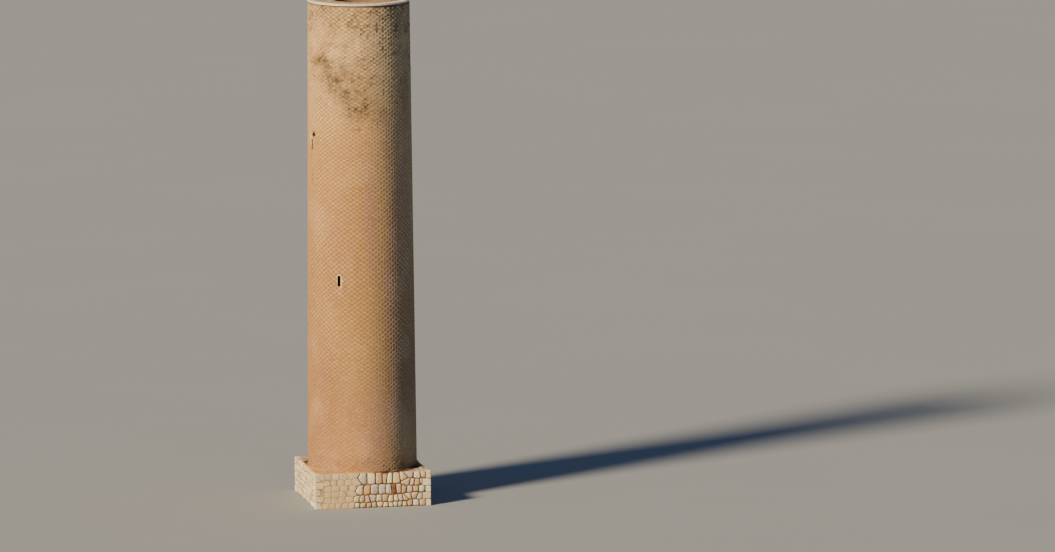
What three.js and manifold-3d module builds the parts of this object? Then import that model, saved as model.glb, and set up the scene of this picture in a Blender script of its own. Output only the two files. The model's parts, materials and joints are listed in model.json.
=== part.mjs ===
// A round brick minaret on a square stone plinth.
// Sizes are in millimetres and +Z is up. The origin is at the middle of the plinth's foot, and
// the plinth's front faces -Y. An azimuth is counted in degrees from -Y towards +X.

import * as THREE from "three";
import { mergeVertices } from "three/addons/utils/BufferGeometryUtils.js";
import Module from "manifold-3d";

// Plinth
const PLINTH_SIDE = 6000;
const PLINTH_HEIGHT = 1800;
const FACING_THICKNESS = 450;
const BEDDING_THICKNESS = 60;

// Shaft
const TOTAL_HEIGHT = 25710;
const FOOT_RADIUS = 2785;
const HEAD_RADIUS = 2585;
const WELL_RADIUS = 1250;
const LIFT_COUNT = 4;
const SEGMENT_COUNT = 6;
const FACET_ANGLE = 6;

// Coping round the outer edge of the wall head
const COPING_HEIGHT = 100;
const COPING_WIDTH = 330;
const COPING_OVERHANG = 30;
const WALL_HEAD_DROP = 40;

// Slit windows: each lights the well half a turn, less a little, on from the one below it.
// Heights are counted from the ledge.
const SLIT_COUNT = 5;
const SLIT_WIDTH = 165;
const SLIT_INNER_WIDTH = 320;
const SLIT_NECK = 300;
const SLIT_HEIGHT = 550;
const LOWEST_SLIT_HEIGHT = 6350;
const SLIT_RISE = 3430;
const LOWEST_SLIT_AZIMUTH = 166.3;
const SLIT_TURN = 159.1;

// A segment is cut by the slits whose middles lie within this angle of it
const SLIT_MARGIN = 5;

// Scaffold hole left in the brickwork over the fourth slit, not right through the wall
const HOLE_AZIMUTH = -72.2;
const HOLE_HEIGHT = 17140;
const HOLE_WIDTH = 130;
const HOLE_RISE = 160;
const HOLE_DEPTH = 350;

// Doorway through the back of the shaft's foot
const DOOR_AZIMUTH = 180;
const DOOR_WIDTH = 800;
const DOOR_SPRING_HEIGHT = 1500;
const ARCH_THICKNESS = 220;
const ARCH_FACETS = 32;

// Clearances between pieces that are cut to each other's shape, and reach of the cutting solids
const FIT_GAP = 0.3;
const LEDGE_GAP = 1;
const JOINT_ANGLE = 0.006;
const REACH = 4000;

// Worked-out sizes
const HALF_SIDE = PLINTH_SIDE / 2;
const MASONRY_TOP = PLINTH_HEIGHT - BEDDING_THICKNESS;
const LIFT_HEIGHT = (TOTAL_HEIGHT - MASONRY_TOP) / LIFT_COUNT;
const SEGMENT_ANGLE = 360 / SEGMENT_COUNT;
const COPING_FOOT = TOTAL_HEIGHT - COPING_HEIGHT;
const WALL_HEAD = TOTAL_HEIGHT - WALL_HEAD_DROP;
const DOOR_SPRING = PLINTH_HEIGHT + DOOR_SPRING_HEIGHT;

const wasm = await Module();
wasm.setup();

// Materials
function masonry(color, roughness = 0.92) {
  return new THREE.MeshStandardMaterial({ color, roughness, metalness: 0 });
}

const finishes = {
  brick: () => masonry(0xc39a6d),
  stone: () => masonry(0xd3c4a8, 0.88),
  rubble: () => masonry(0x9c8f7c, 0.95),
  bedding: () => masonry(0x9a8465, 0.96),
  coping: () => masonry(0xdccfb4, 0.85),
  floor: () => masonry(0xa88a66, 0.93),
};

// Booleans
function toSolid(geometry) {
  const bare = geometry.clone();
  bare.deleteAttribute("normal");
  bare.deleteAttribute("uv");
  const merged = mergeVertices(bare);
  return new wasm.Manifold(
    new wasm.Mesh({
      numProp: 3,
      vertProperties: new Float32Array(merged.attributes.position.array),
      triVerts: new Uint32Array(merged.index.array),
    }),
  );
}

function toGeometry(solid) {
  const { vertProperties, triVerts } = solid.getMesh();
  const geometry = new THREE.BufferGeometry();
  geometry.setAttribute("position", new THREE.BufferAttribute(vertProperties, 3));
  geometry.setIndex(new THREE.BufferAttribute(triVerts, 1));
  return geometry;
}

// Shared shapes
function radians(degrees) {
  return THREE.MathUtils.degToRad(degrees);
}

function planAngle(azimuth) {
  return radians(azimuth - 90);
}

function shaftRadius(height) {
  const share = (height - MASONRY_TOP) / (TOTAL_HEIGHT - MASONRY_TOP);
  return THREE.MathUtils.lerp(FOOT_RADIUS, HEAD_RADIUS, share);
}

function disc(radius, low, high) {
  const geometry = new THREE.CylinderGeometry(radius, radius, high - low, 360 / FACET_ANGLE);
  geometry.rotateX(radians(90));
  geometry.translate(0, 0, (low + high) / 2);
  return geometry;
}

function block(x, y, z, width, depth, height) {
  const geometry = new THREE.BoxGeometry(width, depth, height);
  geometry.translate(x, y, z + height / 2);
  return geometry;
}

// An upright piece of ring between two radii, two azimuths and two heights
function ringPiece(inner, outer, from, to, low, high) {
  const facets = Math.max(1, Math.round((to - from) / FACET_ANGLE));
  const start = planAngle(from + JOINT_ANGLE / 2);
  const end = planAngle(to - JOINT_ANGLE / 2);
  const plan = new THREE.Shape();
  plan.absarc(0, 0, outer, start, end, false);
  plan.absarc(0, 0, inner, end, start, true);
  const geometry = new THREE.ExtrudeGeometry(plan, {
    depth: high - low,
    bevelEnabled: false,
    curveSegments: facets,
  });
  geometry.translate(0, 0, low);
  return geometry;
}

// The outer face of a ring piece leans in by the shaft's batter
function batter(geometry) {
  const position = geometry.attributes.position;
  const middle = (WELL_RADIUS + HEAD_RADIUS) / 2;
  for (let i = 0; i < position.count; i += 1) {
    const x = position.getX(i);
    const y = position.getY(i);
    const radius = Math.hypot(x, y);
    if (radius > middle) {
      const scale = shaftRadius(position.getZ(i)) / radius;
      position.setXY(i, x * scale, y * scale);
    }
  }
  return geometry;
}

function wallPiece(from, to, low, high) {
  return batter(ringPiece(WELL_RADIUS, FOOT_RADIUS, from, to, low, high));
}

const minaret = new THREE.Group();

function addPiece(name, geometry, finish) {
  const mesh = new THREE.Mesh(geometry, finishes[finish]());
  mesh.name = name;
  minaret.add(mesh);
  return mesh;
}

// Plinth: four facing walls round a rubble fill
function addPlinth() {
  const inside = PLINTH_SIDE - 2 * FACING_THICKNESS;
  const offset = HALF_SIDE - FACING_THICKNESS / 2;
  const long = (y) => block(0, y, 0, PLINTH_SIDE, FACING_THICKNESS, MASONRY_TOP);
  const short = (x) => block(x, 0, 0, FACING_THICKNESS, inside, MASONRY_TOP);
  addPiece("plinth_front_wall", long(-offset), "stone");
  addPiece("plinth_back_wall", long(offset), "stone");
  addPiece("plinth_left_wall", short(-offset), "stone");
  addPiece("plinth_right_wall", short(offset), "stone");
  addPiece("plinth_rubble_fill", block(0, 0, 0, inside, inside, MASONRY_TOP), "rubble");
}

// Ledge: a bed of mortar and small stone on each corner of the plinth, round the shaft's foot
function ledgeCorner() {
  const edge = FOOT_RADIUS + LEDGE_GAP;
  const quarter = Math.PI / 2;
  const plan = new THREE.Shape();
  plan.moveTo(FIT_GAP, -HALF_SIDE);
  plan.lineTo(HALF_SIDE, -HALF_SIDE);
  plan.lineTo(HALF_SIDE, -FIT_GAP);
  plan.lineTo(edge, -FIT_GAP);
  plan.absarc(0, 0, edge, -FIT_GAP / edge, FIT_GAP / edge - quarter, true);
  const geometry = new THREE.ExtrudeGeometry(plan, {
    depth: BEDDING_THICKNESS,
    bevelEnabled: false,
    curveSegments: 90 / FACET_ANGLE,
  });
  geometry.translate(0, 0, MASONRY_TOP);
  return geometry;
}

function addLedge() {
  const corners = ["front_right", "back_right", "back_left", "front_left"];
  corners.forEach((corner, turn) => {
    const piece = addPiece(`ledge_${corner}`, ledgeCorner(), "bedding");
    piece.rotation.z = turn * radians(90);
  });
}

// Floor inside the shaft, level with the ledge
function addFloor() {
  addPiece("well_floor", disc(WELL_RADIUS - FIT_GAP, MASONRY_TOP, PLINTH_HEIGHT), "floor");
}

// Slit windows
const slits = Array.from({ length: SLIT_COUNT }, (_, step) => ({
  azimuth: (LOWEST_SLIT_AZIMUTH + step * SLIT_TURN) % 360,
  height: PLINTH_HEIGHT + LOWEST_SLIT_HEIGHT + step * SLIT_RISE,
}));

function slitVoid({ azimuth, height }) {
  const face = shaftRadius(height);
  const narrow = SLIT_WIDTH / 2;
  const wide = SLIT_INNER_WIDTH / 2;
  const plan = new THREE.Shape();
  plan.moveTo(-narrow, -face - narrow);
  plan.lineTo(narrow, -face - narrow);
  plan.lineTo(narrow, -face + SLIT_NECK);
  plan.lineTo(wide, -WELL_RADIUS + narrow);
  plan.lineTo(-wide, -WELL_RADIUS + narrow);
  plan.lineTo(-narrow, -face + SLIT_NECK);
  plan.closePath();
  const geometry = new THREE.ExtrudeGeometry(plan, { depth: SLIT_HEIGHT, bevelEnabled: false });
  geometry.translate(0, 0, height - SLIT_HEIGHT / 2);
  geometry.rotateZ(radians(azimuth));
  return geometry;
}

const scaffoldHole = { azimuth: HOLE_AZIMUTH, height: PLINTH_HEIGHT + HOLE_HEIGHT };

function holeVoid({ azimuth, height }) {
  const face = shaftRadius(height);
  const geometry = new THREE.BoxGeometry(HOLE_WIDTH, 2 * HOLE_DEPTH, HOLE_RISE);
  geometry.translate(0, -face, height);
  geometry.rotateZ(radians(azimuth));
  return geometry;
}

function azimuthWithin(azimuth, from, to) {
  const turned = THREE.MathUtils.euclideanModulo(azimuth - from, 360);
  return turned < to - from;
}

// Azimuths of a lift's upright joints: one through the middle of each slit, or on the lowest lift
// one beside the doorway, and the wall between them in even segments
function liftJoints(low, high) {
  const fixed = slits.filter(({ height }) => height > low && height < high).map((slit) => slit.azimuth);
  if (fixed.length === 0) fixed.push(DOOR_AZIMUTH + SEGMENT_ANGLE / 2);
  fixed.sort((a, b) => a - b);
  fixed.push(fixed[0] + 360);
  const joints = [fixed[0]];
  for (let stretch = 1; stretch < fixed.length; stretch += 1) {
    const from = fixed[stretch - 1];
    const angle = fixed[stretch] - from;
    const count = Math.round(angle / SEGMENT_ANGLE);
    for (let step = 1; step <= count; step += 1) joints.push(from + (angle * step) / count);
  }
  return joints;
}

// Shaft: lifts of brickwork, each in segments
function addLift(lift) {
  const low = MASONRY_TOP + lift * LIFT_HEIGHT;
  const atTop = lift === LIFT_COUNT - 1;
  const high = atTop ? WALL_HEAD : low + LIFT_HEIGHT;
  const joints = liftJoints(low, high);
  for (let segment = 1; segment < joints.length; segment += 1) {
    const from = joints[segment - 1];
    const to = joints[segment];
    const plain = wallPiece(from, to, low, high);
    if (lift === 0 && azimuthWithin(DOOR_AZIMUTH, from, to)) {
      addDoorway(toSolid(plain), low, high);
      continue;
    }
    const touches = ({ azimuth, height }) =>
      height > low && height < high && azimuthWithin(azimuth, from - SLIT_MARGIN, to + SLIT_MARGIN);
    const cuts = slits.filter(touches).map((slit) => toSolid(slitVoid(slit)));
    if (touches(scaffoldHole)) cuts.push(toSolid(holeVoid(scaffoldHole)));
    if (atTop) cuts.push(copingSeat());
    const wall = cuts.reduce((solid, cut) => solid.subtract(cut), toSolid(plain));
    addPiece(`shaft_lift_${lift + 1}_segment_${segment}`, toGeometry(wall), "brick");
  }
}

// Doorway: a pier on each side, an arch ring on the piers, and the wall over the arch
function addDoorway(wall, low, high) {
  const half = DOOR_WIDTH / 2;
  const crown = half + ARCH_THICKNESS;
  const pierHeight = DOOR_SPRING - low;
  const pierWidth = REACH - half;
  const pierMiddle = half + pierWidth / 2;
  const barrel = (radius) => {
    const geometry = new THREE.CylinderGeometry(radius, radius, 2 * REACH, ARCH_FACETS);
    geometry.translate(0, 0, DOOR_SPRING);
    return toSolid(geometry);
  };
  const pier = (side) => block(side * pierMiddle, 0, low, pierWidth, 2 * REACH, pierHeight);
  const above = block(0, 0, DOOR_SPRING, 2 * REACH, 2 * REACH, high - DOOR_SPRING);
  const sill = block(0, 0, low, DOOR_WIDTH - 2 * FIT_GAP, 2 * REACH, BEDDING_THICKNESS);

  const over = wall.intersect(toSolid(above));
  addPiece("doorway_right_pier", toGeometry(wall.intersect(toSolid(pier(1)))), "brick");
  addPiece("doorway_left_pier", toGeometry(wall.intersect(toSolid(pier(-1)))), "brick");
  addPiece("doorway_arch", toGeometry(over.intersect(barrel(crown)).subtract(barrel(half))), "brick");
  addPiece("shaft_lift_1_over_doorway", toGeometry(over.subtract(barrel(crown + FIT_GAP))), "brick");
  addPiece("doorway_threshold", toGeometry(wall.intersect(toSolid(sill))), "stone");
}

// Coping: a ring of slabs let into the outer edge of the wall head, and the seat cut for it
function copingRadius() {
  return HEAD_RADIUS + COPING_OVERHANG - COPING_WIDTH;
}

function copingSeat() {
  const inside = toSolid(disc(copingRadius() - FIT_GAP, COPING_FOOT, TOTAL_HEIGHT));
  return toSolid(disc(REACH, COPING_FOOT, TOTAL_HEIGHT)).subtract(inside);
}

function addCoping() {
  const outer = HEAD_RADIUS + COPING_OVERHANG;
  for (let slab = 0; slab < SEGMENT_COUNT; slab += 1) {
    const from = (slab - 0.5) * SEGMENT_ANGLE;
    const to = from + SEGMENT_ANGLE;
    const geometry = ringPiece(copingRadius(), outer, from, to, COPING_FOOT, TOTAL_HEIGHT);
    addPiece(`coping_slab_${slab + 1}`, geometry, "coping");
  }
}

addPlinth();
addLedge();
addFloor();
for (let lift = 0; lift < LIFT_COUNT; lift += 1) addLift(lift);
addCoping();

export default minaret;
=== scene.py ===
"""The looks of a round brick minaret on a square stone plinth.

Metres, +Z up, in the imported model's frame. An azimuth is counted in degrees from -Y towards +X.
"""

import json
import math

import bpy
import numpy as np
from mathutils import Matrix, Vector, noise


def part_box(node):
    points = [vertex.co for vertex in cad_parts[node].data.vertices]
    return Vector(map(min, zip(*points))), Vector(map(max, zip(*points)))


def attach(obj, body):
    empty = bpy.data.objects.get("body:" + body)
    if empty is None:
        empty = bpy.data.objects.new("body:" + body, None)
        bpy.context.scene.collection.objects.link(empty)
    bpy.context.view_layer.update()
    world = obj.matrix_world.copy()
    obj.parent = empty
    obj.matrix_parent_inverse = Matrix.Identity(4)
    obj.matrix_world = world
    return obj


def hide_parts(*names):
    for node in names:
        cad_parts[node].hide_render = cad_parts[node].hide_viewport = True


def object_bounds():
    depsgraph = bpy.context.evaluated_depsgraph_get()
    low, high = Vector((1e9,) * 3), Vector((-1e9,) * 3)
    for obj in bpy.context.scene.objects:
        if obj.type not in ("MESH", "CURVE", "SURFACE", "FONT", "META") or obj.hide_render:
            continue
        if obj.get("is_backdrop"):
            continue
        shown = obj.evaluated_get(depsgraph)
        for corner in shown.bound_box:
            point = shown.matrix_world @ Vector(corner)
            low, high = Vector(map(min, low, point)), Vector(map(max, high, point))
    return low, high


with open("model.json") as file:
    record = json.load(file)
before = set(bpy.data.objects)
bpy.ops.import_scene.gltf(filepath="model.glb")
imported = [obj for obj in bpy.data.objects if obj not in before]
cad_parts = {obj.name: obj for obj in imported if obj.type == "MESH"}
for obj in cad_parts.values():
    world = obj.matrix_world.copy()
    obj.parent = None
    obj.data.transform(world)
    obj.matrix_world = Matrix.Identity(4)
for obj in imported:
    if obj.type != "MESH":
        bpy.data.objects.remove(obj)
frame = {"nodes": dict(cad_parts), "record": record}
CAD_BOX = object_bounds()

# Camera, fitted to the photograph's edges of the shaft and corners of the plinth
FOCAL_PIXELS = 9000.0
PHOTO_WIDTH = 1055.0
SENSOR_WIDTH = 36.0
CAMERA_AZIMUTH = -11.35
CAMERA_ELEVATION = 8.40
CAMERA_ROLL = -0.31
CAMERA_DISTANCE = 458.6
AIM_RIGHT = 8.489
AIM_HEIGHT = 11.43

# Light
SUN_AZIMUTH = -59.0
SUN_ELEVATION = 29.0
SUN_STRENGTH = 6.6
SUN_SOFTNESS = 10.0
SUN_COLOUR = (1.0, 0.87, 0.66)
SKY_COLOUR = (0.27, 0.42, 0.80)
SKY_STRENGTH = 0.28
FLOOR_HALF_SIDE = 900.0

# Face brickwork: pairs of thin bricks between wide rising joints, each pair over a joint. The lists give
# the pairs in a round of each lift, and how high a pair is at some heights of the shaft
PAIRS_ROUND = (54, 53, 52, 50)
PAIR_AT = (1.8, 3.6, 4.3, 5.8, 7.4, 8.9, 10.5, 12.0, 13.6, 15.1, 16.7, 18.2, 25.7)
PAIR_HEIGHT = (0.112, 0.112, 0.105, 0.102, 0.115, 0.120, 0.117, 0.125, 0.122, 0.114, 0.111, 0.105, 0.106)
BRICK_LENGTH = 0.178
BED_JOINT = 0.009
BRICK_DEPTH = 0.078
JOINT_DEPTH = 0.009
FILLED_JOINT_DEPTH = 0.008
FILLED_BELOW = 5.2
PIT_DEPTH = 0.034
BRICK_CHAMFER = 0.004
SHORTEST_BRICK = 0.025
SHORTEST_VAULT_BRICK = 0.03
BLOCK_JOINT = 0.008

# Wall behind the face brickwork, with a groove round it under the coping and earth on its head
WALL_FACETS = 180
WALL_LEVELS = 200
HEAD_GROOVE = 0.110
GROOVE_DEPTH = 0.052
BELOW_WALL_HEAD = 0.03
CUT_MARGIN = 0.1

# Scaffold hole and slit windows, and the reach of the plaster past a slit: right, head, left and sill
HOLE_AZIMUTH = -72.2
HOLE_HEIGHT = 17.14
HOLE_WIDTH = 0.13
HOLE_RISE = 0.16
HOLE_DEPTH = 0.35
MISSING_WIDTH = 0.25
SLIT_WIDTH = 0.165
SLIT_HEIGHT = 0.55
SLIT_INNER_WIDTH = 0.32
SLIT_NECK = 0.30
LINING_THICKNESS = 0.006
LINING_START = 0.010
LINING_END = 0.125
SURROUND = (0.12, 0.06, 0.035, 0.04)
SURROUND_AT_LEFT_EDGE = (0.03, 0.10, 0.15, 0.02)
LEFT_EDGE_SLIT = -76.4

# Doorway, cut from inside the well to outside the wall
DOOR_AZIMUTH = 180.0
DOOR_CUT_START = 0.9
DOOR_CUT_END = 3.5
JAMB_DEPTH = 0.034
JAMB_BRICK_DEPTH = JAMB_DEPTH + 0.01
VOUSSOIR_COUNT = 25
VOUSSOIR_DEPTH = 0.12
VAULT_BRICK = 0.25

# Head of the shaft
COPING_WIDTH = 0.33
COPING_COUNT = 36
COPING_STEPS = 4
HEAD_BRICK_SIDE = 0.235

# Layers of earth, as points in a round and rings of faces from the inside outwards
CARPET_FACETS = 240
CARPET_RINGS = 12

# Plinth and ledge. A finish is the joint round a stone, its dome, how unevenly it is set back, and its tilt
QUOIN_LONG = 0.44
QUOIN_SHORT = 0.26
QUOIN_DEPTH = 0.30
QUOIN_BED = 0.014
QUOIN_JOINT = 0.012
QUOIN_EDGE = 0.032
EVEN_FINISH = (0.016, 0.016, 0.004, 0.03)
ROUGH_FINISH = (0.040, 0.060, 0.010, 0.06)
LEDGE_FINISH = (0.05, 0.014, 0.004, 0.02)
STONE_SETBACK = 0.006
STONE_DEPTH = 0.14
TOP_STONE_DEPTH = 0.26
BED_FLATNESS = 1.35
EVEN_STONE_END = -0.92
MORTAR_SETBACK = 0.078
EVEN_MORTAR_SETBACK = 0.020
EDGE_STRIP = 0.16
LEDGE_STONE_PITCH = 0.34
LEDGE_STONE_DEPTH = 0.05
BANK_HEIGHT = 0.045
BANK_WIDTH = 0.10

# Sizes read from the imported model
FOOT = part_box("shaft_lift_1_segment_1")[0].z
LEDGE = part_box("ledge_front_right")[1].z
WALL_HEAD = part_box("shaft_lift_4_segment_1")[1].z
COPING_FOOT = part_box("coping_slab_1")[0].z
COPING_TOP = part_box("coping_slab_1")[1].z
COPING_RADIUS = -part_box("coping_slab_1")[0].y
WELL_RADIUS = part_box("well_floor")[1].x
HALF_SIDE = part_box("plinth_front_wall")[1].x
DOOR_HALF_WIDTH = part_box("doorway_threshold")[1].x
ARCH_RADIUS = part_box("doorway_arch")[1].x
ARCH_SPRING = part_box("doorway_arch")[0].z
LIFT_FEET = [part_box(f"shaft_lift_{lift}_segment_1")[0].z for lift in (1, 2, 3, 4)]

# Sizes worked out from them
BRICK_TOP = COPING_FOOT - HEAD_GROOVE
COPING_INNER = COPING_RADIUS - COPING_WIDTH
HOLE_LEVEL = LEDGE + HOLE_HEIGHT
QUOIN_LEVELS = [0.0, 0.35, 0.69, 1.03, 1.40, LEDGE]

# Corners of a square, anticlockwise
SQUARE = np.array([(-1.0, -1.0), (1.0, -1.0), (1.0, 1.0), (-1.0, 1.0)])


def widest(node):
    """The largest radius of a node's solid, which on a lift of the shaft is that at its foot."""
    return max(math.hypot(v.co.x, v.co.y) for v in frame["nodes"][node].data.vertices)


FOOT_RADIUS = widest("shaft_lift_1_segment_1")
TOP_LIFT_RADIUS = widest("shaft_lift_4_segment_1")
BATTER = (FOOT_RADIUS - TOP_LIFT_RADIUS) / (LIFT_FEET[3] - LIFT_FEET[0])

rng = np.random.default_rng(51)


# Places on the shaft


def shaft_radius(height):
    return FOOT_RADIUS - BATTER * (height - FOOT)


def on_shaft(azimuth, height, radius):
    angle = math.radians(azimuth)
    return np.array([radius * math.sin(angle), -radius * math.cos(angle), height])


def shaft_frame(azimuth):
    """Right, up and out at an azimuth on the shaft."""
    angle = math.radians(azimuth)
    right = np.array([math.cos(angle), math.sin(angle), 0.0])
    out = np.array([math.sin(angle), -math.cos(angle), 0.0])
    return right, np.array([0.0, 0.0, 1.0]), out


def turn_between(a, b):
    """The signed turn from azimuth b to azimuth a, within half a circle each way."""
    return (a - b + 180.0) % 360.0 - 180.0


def towards(azimuth, elevation):
    """The way to an azimuth and elevation, both in degrees."""
    azimuth, elevation = math.radians(azimuth), math.radians(elevation)
    return Vector((
        math.sin(azimuth) * math.cos(elevation),
        -math.cos(azimuth) * math.cos(elevation),
        math.sin(elevation),
    ))


def metres_to_degrees(length, height):
    return math.degrees(length / shaft_radius(height))


def slit_places():
    """Azimuth and height of each slit window, from the boxes of its neck."""
    places = []
    for opening in frame["record"]["physics"]["openings"]:
        if opening["name"].endswith("slit_neck"):
            low, high = np.array(opening["box_m"])
            middle = (low + high) / 2
            places.append((math.degrees(math.atan2(middle[0], -middle[1])), middle[2]))
    return places


SLITS = slit_places()


def within(value, low=0.0, high=1.0):
    return min(max(value, low), high)


def rising(value, start, span):
    """0 up to the start, and 1 from a span further on."""
    return within((value - start) / span)


def falling(value, end, span):
    """1 until a span before the end, and 0 from the end on."""
    return within((end - value) / span)


def near(azimuth, middle, reach):
    """1 at the middle azimuth, and 0 from a reach away on both sides."""
    return within(1.0 - abs(turn_between(azimuth, middle)) / reach)


# Colours


def linear(value):
    share = value / 255.0
    return share / 12.92 if share <= 0.04045 else ((share + 0.055) / 1.055) ** 2.4


def tint(red, green, blue):
    """A colour given as the 0 to 255 values of a screen, as linear values."""
    return np.array([linear(red), linear(green), linear(blue)])


def rgb(red, green, blue):
    return (*tint(red, green, blue), 1.0)


def blend(a, b, share):
    return a + (b - a) * share


# Materials


class Shader:
    """Short ways to add nodes to one material."""

    def __init__(self, name):
        self.material = bpy.data.materials.new(name)
        self.material.use_nodes = True
        self.tree = self.material.node_tree
        self.surface = self.tree.nodes["Principled BSDF"]
        self.place = self.add("ShaderNodeTexCoord").outputs["Object"]

    def add(self, kind, inputs=None, **settings):
        """A node with its settings, and with a value or another node's output on each input named."""
        node = self.tree.nodes.new(kind)
        for key, value in settings.items():
            setattr(node, key, value)
        self.feed(node, inputs or {})
        return node

    def feed(self, node, inputs):
        for name, value in inputs.items():
            if isinstance(value, bpy.types.NodeSocket):
                self.tree.links.new(value, node.inputs[name])
            else:
                node.inputs[name].default_value = value

    def attribute(self, name, output):
        return self.add("ShaderNodeAttribute", attribute_name=name).outputs[output]

    def noise(self, scale, detail=4.0, roughness=0.6):
        inputs = {"Vector": self.place, "Scale": scale, "Detail": detail, "Roughness": roughness}
        return self.add("ShaderNodeTexNoise", inputs).outputs["Fac"]

    def spread(self, value, low, high, to_low=0.0, to_high=1.0):
        inputs = {"Value": value, "From Min": low, "From Max": high, "To Min": to_low, "To Max": to_high}
        return self.add("ShaderNodeMapRange", inputs).outputs["Result"]

    def math(self, operation, a, b=0.0):
        return self.add("ShaderNodeMath", {0: a, 1: b}, operation=operation).outputs["Value"]

    def mix(self, share, a, b, blend_type="MIX"):
        inputs = {"Factor": share, "A": a, "B": b}
        node = self.add("ShaderNodeMix", inputs, data_type="RGBA", blend_type=blend_type)
        return node.outputs["Result"]

    def mottle(self, colour, pattern, low, high, most, shade):
        """A colour shaded where a pattern is strong: not at all at low, and by the share most at high."""
        return self.mix(self.spread(pattern, low, high, 0.0, most), colour, shade, "MULTIPLY")

    def soiled(self):
        """The share of dark dirt in a worn face's mottles."""
        mottles = self.spread(self.noise(6.5, 6.0, 0.72), 0.50, 0.62)
        wear = self.math("MULTIPLY", self.attribute("paint", "Alpha"), 0.8)
        return self.math("MULTIPLY", mottles, wear)

    def finish(self, colour, roughness, relief, depth):
        """The material, once its surface has its colour, its roughness and a bump from the relief."""
        bump = self.add("ShaderNodeBump", {"Distance": depth, "Strength": 1.0, "Height": relief})
        looks = {"Base Color": colour, "Roughness": roughness, "Specular IOR Level": 0.2}
        self.feed(self.surface, {**looks, "Normal": bump.outputs["Normal"]})
        return self.material


def brick_material():
    """Tan face brick in its painted colour, with sandy grain, pits and dusty streaks."""
    shader = Shader("face_brick")
    paint = shader.attribute("paint", "Color")
    grain = shader.noise(55.0, 6.0, 0.7)
    blotches = shader.noise(14.0, 3.0, 0.6)
    colour = shader.mottle(paint, grain, 0.38, 0.72, 0.55, rgb(206, 190, 178))
    colour = shader.mottle(colour, blotches, 0.45, 0.7, 0.5, rgb(226, 216, 204))
    colour = shader.mix(shader.soiled(), colour, rgb(110, 92, 72))
    pits = shader.noise(140.0, 3.0, 0.6)
    relief = shader.math("ADD", grain, shader.math("MULTIPLY", pits, 0.5))
    return shader.finish(colour, shader.spread(grain, 0.3, 0.7, 0.8, 0.97), relief, 0.004)


def mortar_material():
    """Dusty lime and mud mortar at the back of the joints, in its painted colour, which is darkened partly
    as painted shade in the joints.
    """
    shader = Shader("joint_mortar")
    paint = shader.attribute("paint", "Color")
    grain = shader.noise(60.0, 6.0, 0.7)
    lumps = shader.noise(17.0, 4.0, 0.65)
    colour = shader.mottle(paint, grain, 0.35, 0.7, 0.6, rgb(200, 182, 166))
    colour = shader.mix(shader.soiled(), colour, rgb(84, 65, 47))
    relief = shader.math("ADD", grain, shader.math("MULTIPLY", lumps, 2.0))
    return shader.finish(colour, 0.95, relief, 0.008)


def well_brick_material():
    """Rougher brickwork inside the well, drawn as courses round the axis."""
    shader = Shader("well_brick")
    parts = shader.add("ShaderNodeSeparateXYZ", {"Vector": shader.place})
    angle = shader.math("ARCTAN2", parts.outputs["X"], parts.outputs["Y"])
    round_well = shader.math("MULTIPLY", angle, WELL_RADIUS)
    plane = shader.add("ShaderNodeCombineXYZ", {"X": round_well, "Y": parts.outputs["Z"]})
    bricks = shader.add("ShaderNodeTexBrick", {
        "Vector": plane.outputs["Vector"],
        "Scale": 1.0,
        "Brick Width": 0.26,
        "Row Height": 0.065,
        "Mortar Size": 0.007,
        "Color1": rgb(190, 144, 102),
        "Color2": rgb(162, 120, 86),
        "Mortar": rgb(142, 124, 100),
    })
    grain = shader.noise(40.0, 6.0, 0.7)
    broad = shader.noise(0.8, 3.0)
    colour = shader.mix(shader.spread(broad, 0.4, 0.7, 0.0, 0.5), bricks.outputs["Color"], rgb(118, 98, 78))
    lifted = shader.math("SUBTRACT", 1.0, bricks.outputs["Fac"])
    relief = shader.math("ADD", lifted, shader.math("MULTIPLY", grain, 0.4))
    return shader.finish(colour, 0.95, relief, 0.008)


def stone_material():
    """Cut and rubble stone: each stone has its own paint, with veins, grain and dirt on it."""
    shader = Shader("plinth_stone")
    paint = shader.attribute("paint", "Color")
    broad = shader.noise(5.0, 5.0, 0.65)
    grain = shader.noise(38.0, 7.0, 0.7)
    colour = shader.mottle(paint, broad, 0.40, 0.68, 0.8, rgb(229, 221, 212))
    colour = shader.mottle(colour, grain, 0.42, 0.72, 0.7, rgb(203, 191, 180))
    relief = shader.math("ADD", shader.math("MULTIPLY", broad, 2.0), grain)
    return shader.finish(colour, shader.spread(grain, 0.3, 0.7, 0.75, 0.95), relief, 0.014)


def threshold_material():
    """The worn stone of the doorway's threshold."""
    shader = Shader("threshold_stone")
    broad = shader.noise(3.0, 4.0, 0.65)
    grain = shader.noise(38.0, 7.0, 0.7)
    colour = shader.mix(shader.spread(broad, 0.35, 0.7), rgb(206, 190, 160), rgb(158, 138, 110))
    colour = shader.mottle(colour, grain, 0.42, 0.72, 0.6, rgb(190, 174, 158))
    return shader.finish(colour, 0.8, shader.math("ADD", broad, grain), 0.006)


def earth_material(name, depth):
    """Dry earth and mortar in its painted colour, with grit and small stones in it."""
    shader = Shader(name)
    paint = shader.attribute("paint", "Color")
    broad = shader.noise(3.4, 5.0, 0.65)
    grain = shader.noise(24.0, 8.0, 0.75)
    grit = shader.noise(90.0, 3.0, 0.6)
    colour = shader.mottle(paint, broad, 0.40, 0.65, 0.7, rgb(196, 180, 164))
    colour = shader.mottle(colour, grain, 0.42, 0.72, 0.7, rgb(176, 158, 140))
    relief = shader.math("ADD", grain, shader.math("MULTIPLY", grit, 0.3))
    return shader.finish(colour, 0.96, relief, depth)


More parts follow.
